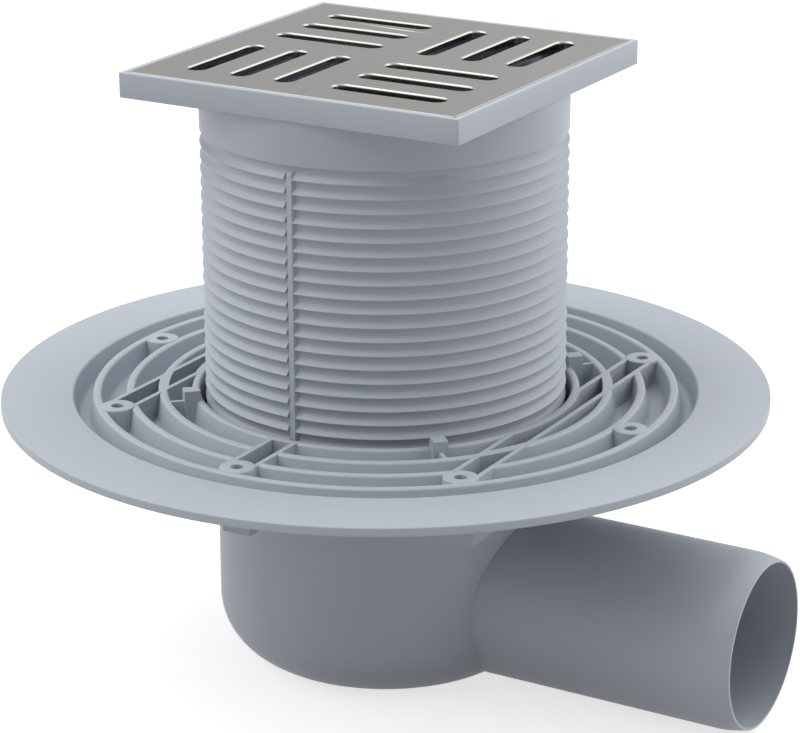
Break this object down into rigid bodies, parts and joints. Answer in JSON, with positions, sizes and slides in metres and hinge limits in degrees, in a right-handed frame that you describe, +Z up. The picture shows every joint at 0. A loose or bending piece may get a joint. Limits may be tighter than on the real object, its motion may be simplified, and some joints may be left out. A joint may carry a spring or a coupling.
{
  "type": "gully trap",
  "caption": "Low floor gully trap: square slotted steel grate on a ribbed height-adjustable riser, wide ringed collar, bowl with water-seal insert and horizontal outlet.",
  "frame": {"origin": "centre of the flat underside of the bowl, on the axis of the bowl and riser", "axes": "+Z up along the riser, +X along the outlet spigot towards its open end"},
  "size_m": [0.2299, 0.2198, 0.1767],
  "materials": {
    "grey_polypropylene": "satin moulded, light blue-grey",
    "insert_polypropylene": "satin moulded, light blue-grey",
    "stainless_sheet": "pressed sheet, fine brushed satin",
    "seal_rubber": "matt black"
  },
  "bodies": {
    "body": {"trap_body": "grey_polypropylene", "trap_funnel": "insert_polypropylene", "funnel_seal": "seal_rubber", "trap_cup": "insert_polypropylene"},
    "seal_ring": {"riser_seal": "seal_rubber"},
    "riser": {"riser": "grey_polypropylene", "grate": "stainless_sheet"}
  },
  "joints": [
    {"name": "riser_turn", "type": "hinge", "parent": "body", "child": "seal_ring", "pos_m": [0, 0, 0.0707], "axis": [0, 0, 1], "continuous": true},
    {"name": "riser_lift", "type": "slide", "parent": "seal_ring", "child": "riser", "axis": [0, 0, 1], "range_m": [0, 0.008]}
  ]
}
